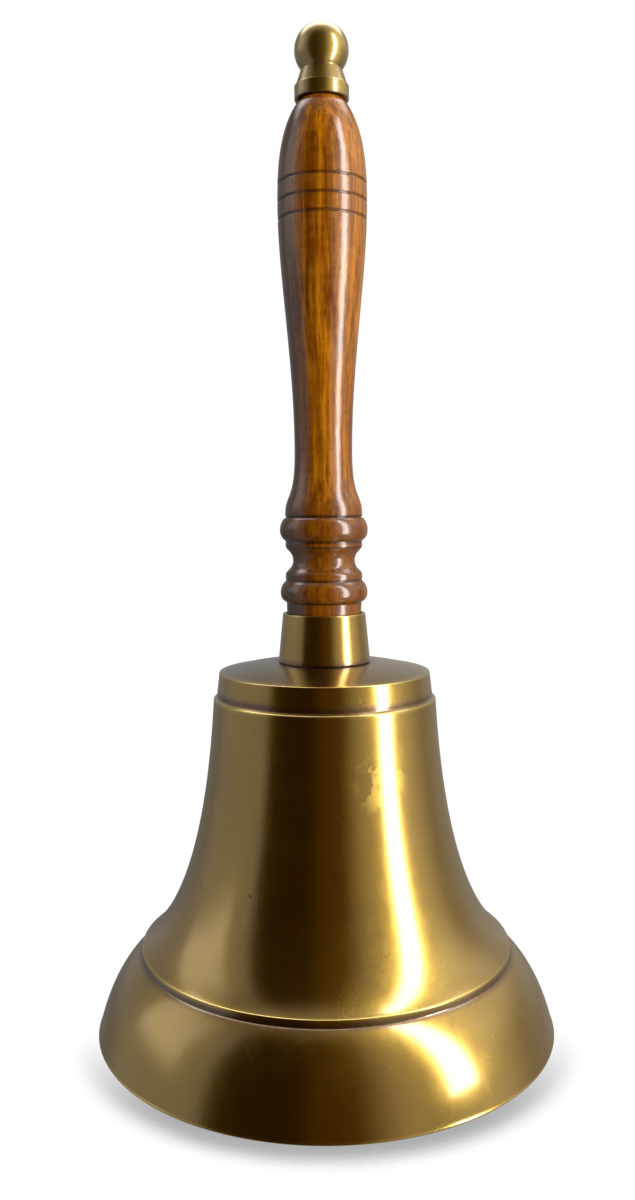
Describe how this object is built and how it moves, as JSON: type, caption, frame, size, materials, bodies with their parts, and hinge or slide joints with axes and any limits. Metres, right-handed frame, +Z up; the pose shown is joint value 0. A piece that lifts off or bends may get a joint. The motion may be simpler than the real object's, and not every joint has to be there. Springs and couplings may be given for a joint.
{
  "type": "sanctus bell",
  "caption": "Brass hand bell with a flared skirt, turned wooden handle and ball finial; a hanging clapper swings inside and strikes the wall.",
  "frame": {"origin": "centre of the bell's mouth, in the plane of the lip that it stands on", "axes": "+Z up along the bell's axis, through the handle to the finial; the clapper's main swing is in the YZ plane"},
  "size_m": [0.1256, 0.1256, 0.268],
  "materials": {
    "bell_brass": "cast and turned brass, lacquered, darkened in the recesses and worn bright along the edges",
    "polished_brass": "turned brass, polished, with a thin dull film",
    "varnished_wood": "reddish brown turned hardwood, fine straight grain, glossy varnish",
    "steel": "plain steel wire and rod, dulled"
  },
  "bodies": {
    "bell": {"bell_shell": "bell_brass", "ferrule": "polished_brass", "handle": "varnished_wood", "finial": "polished_brass", "tie_rod": "steel", "crown_washer": "steel", "crown_nut": "steel", "lock_nut": "steel"},
    "link": {"link": "steel"},
    "clapper": {"clapper_rod": "steel", "clapper_ball": "bell_brass", "ball_nut": "steel"}
  },
  "joints": [
    {"name": "link_swing", "type": "hinge", "parent": "bell", "child": "link", "pos_m": [0, 0, 0.0709], "axis": [0, 1, 0], "range_deg": [-6, 6]},
    {"name": "clapper_swing", "type": "hinge", "parent": "link", "child": "clapper", "pos_m": [0, 0, 0.0628], "axis": [1, 0, 0], "range_deg": [-41.5, 41.5]}
  ]
}
